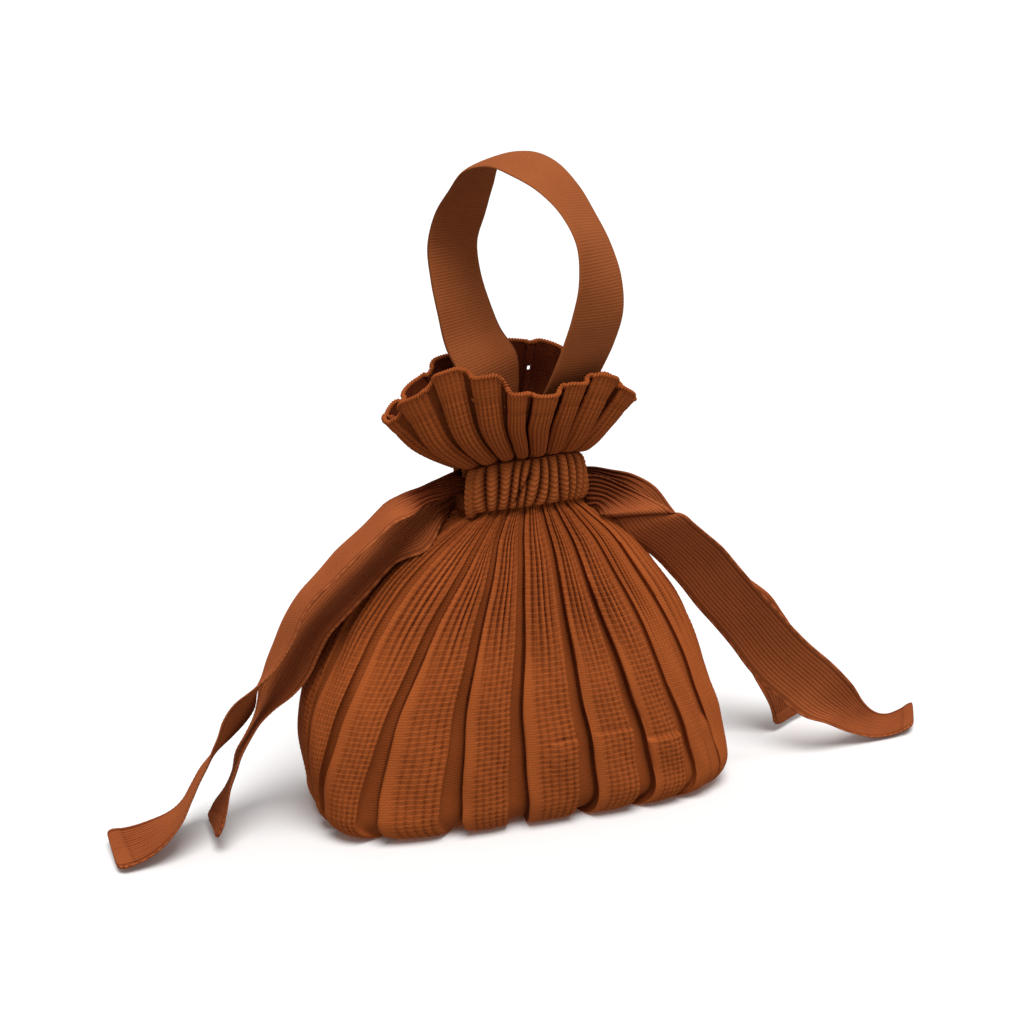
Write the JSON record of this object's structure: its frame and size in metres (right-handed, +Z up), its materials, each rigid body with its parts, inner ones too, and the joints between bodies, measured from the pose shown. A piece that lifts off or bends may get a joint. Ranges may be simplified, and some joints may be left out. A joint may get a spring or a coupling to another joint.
{
  "type": "pleated knitted drawstring bag",
  "caption": "Small pleated knitted pouch with a ruffled mouth, a gathered neck casing with flat drawstring ribbons at both sides, and one knitted carrying loop.",
  "frame": {"origin": "on the surface it stands on, at the middle of the flat base", "axes": "+Z up, the broad front faces -Y, +X to the right seen from the front"},
  "size_m": [0.4599, 0.0986, 0.3301],
  "materials": {
    "body_knit": "matte waffle knit, rust brown",
    "casing_knit": "matte gathered jersey knit, rust brown",
    "strap_knit": "matte dense flat knit, rust brown",
    "ribbon_knit": "matte fine rib knit, rust brown"
  },
  "bodies": {
    "root": {"bag_body": "body_knit", "front_casing": "casing_knit", "back_casing": "casing_knit", "handle_strap": "strap_knit", "left_drawstring": "ribbon_knit", "right_drawstring": "ribbon_knit", "left_front_end": "ribbon_knit", "left_back_end": "ribbon_knit", "right_front_end": "ribbon_knit", "right_back_end": "ribbon_knit"}
  },
  "joints": []
}
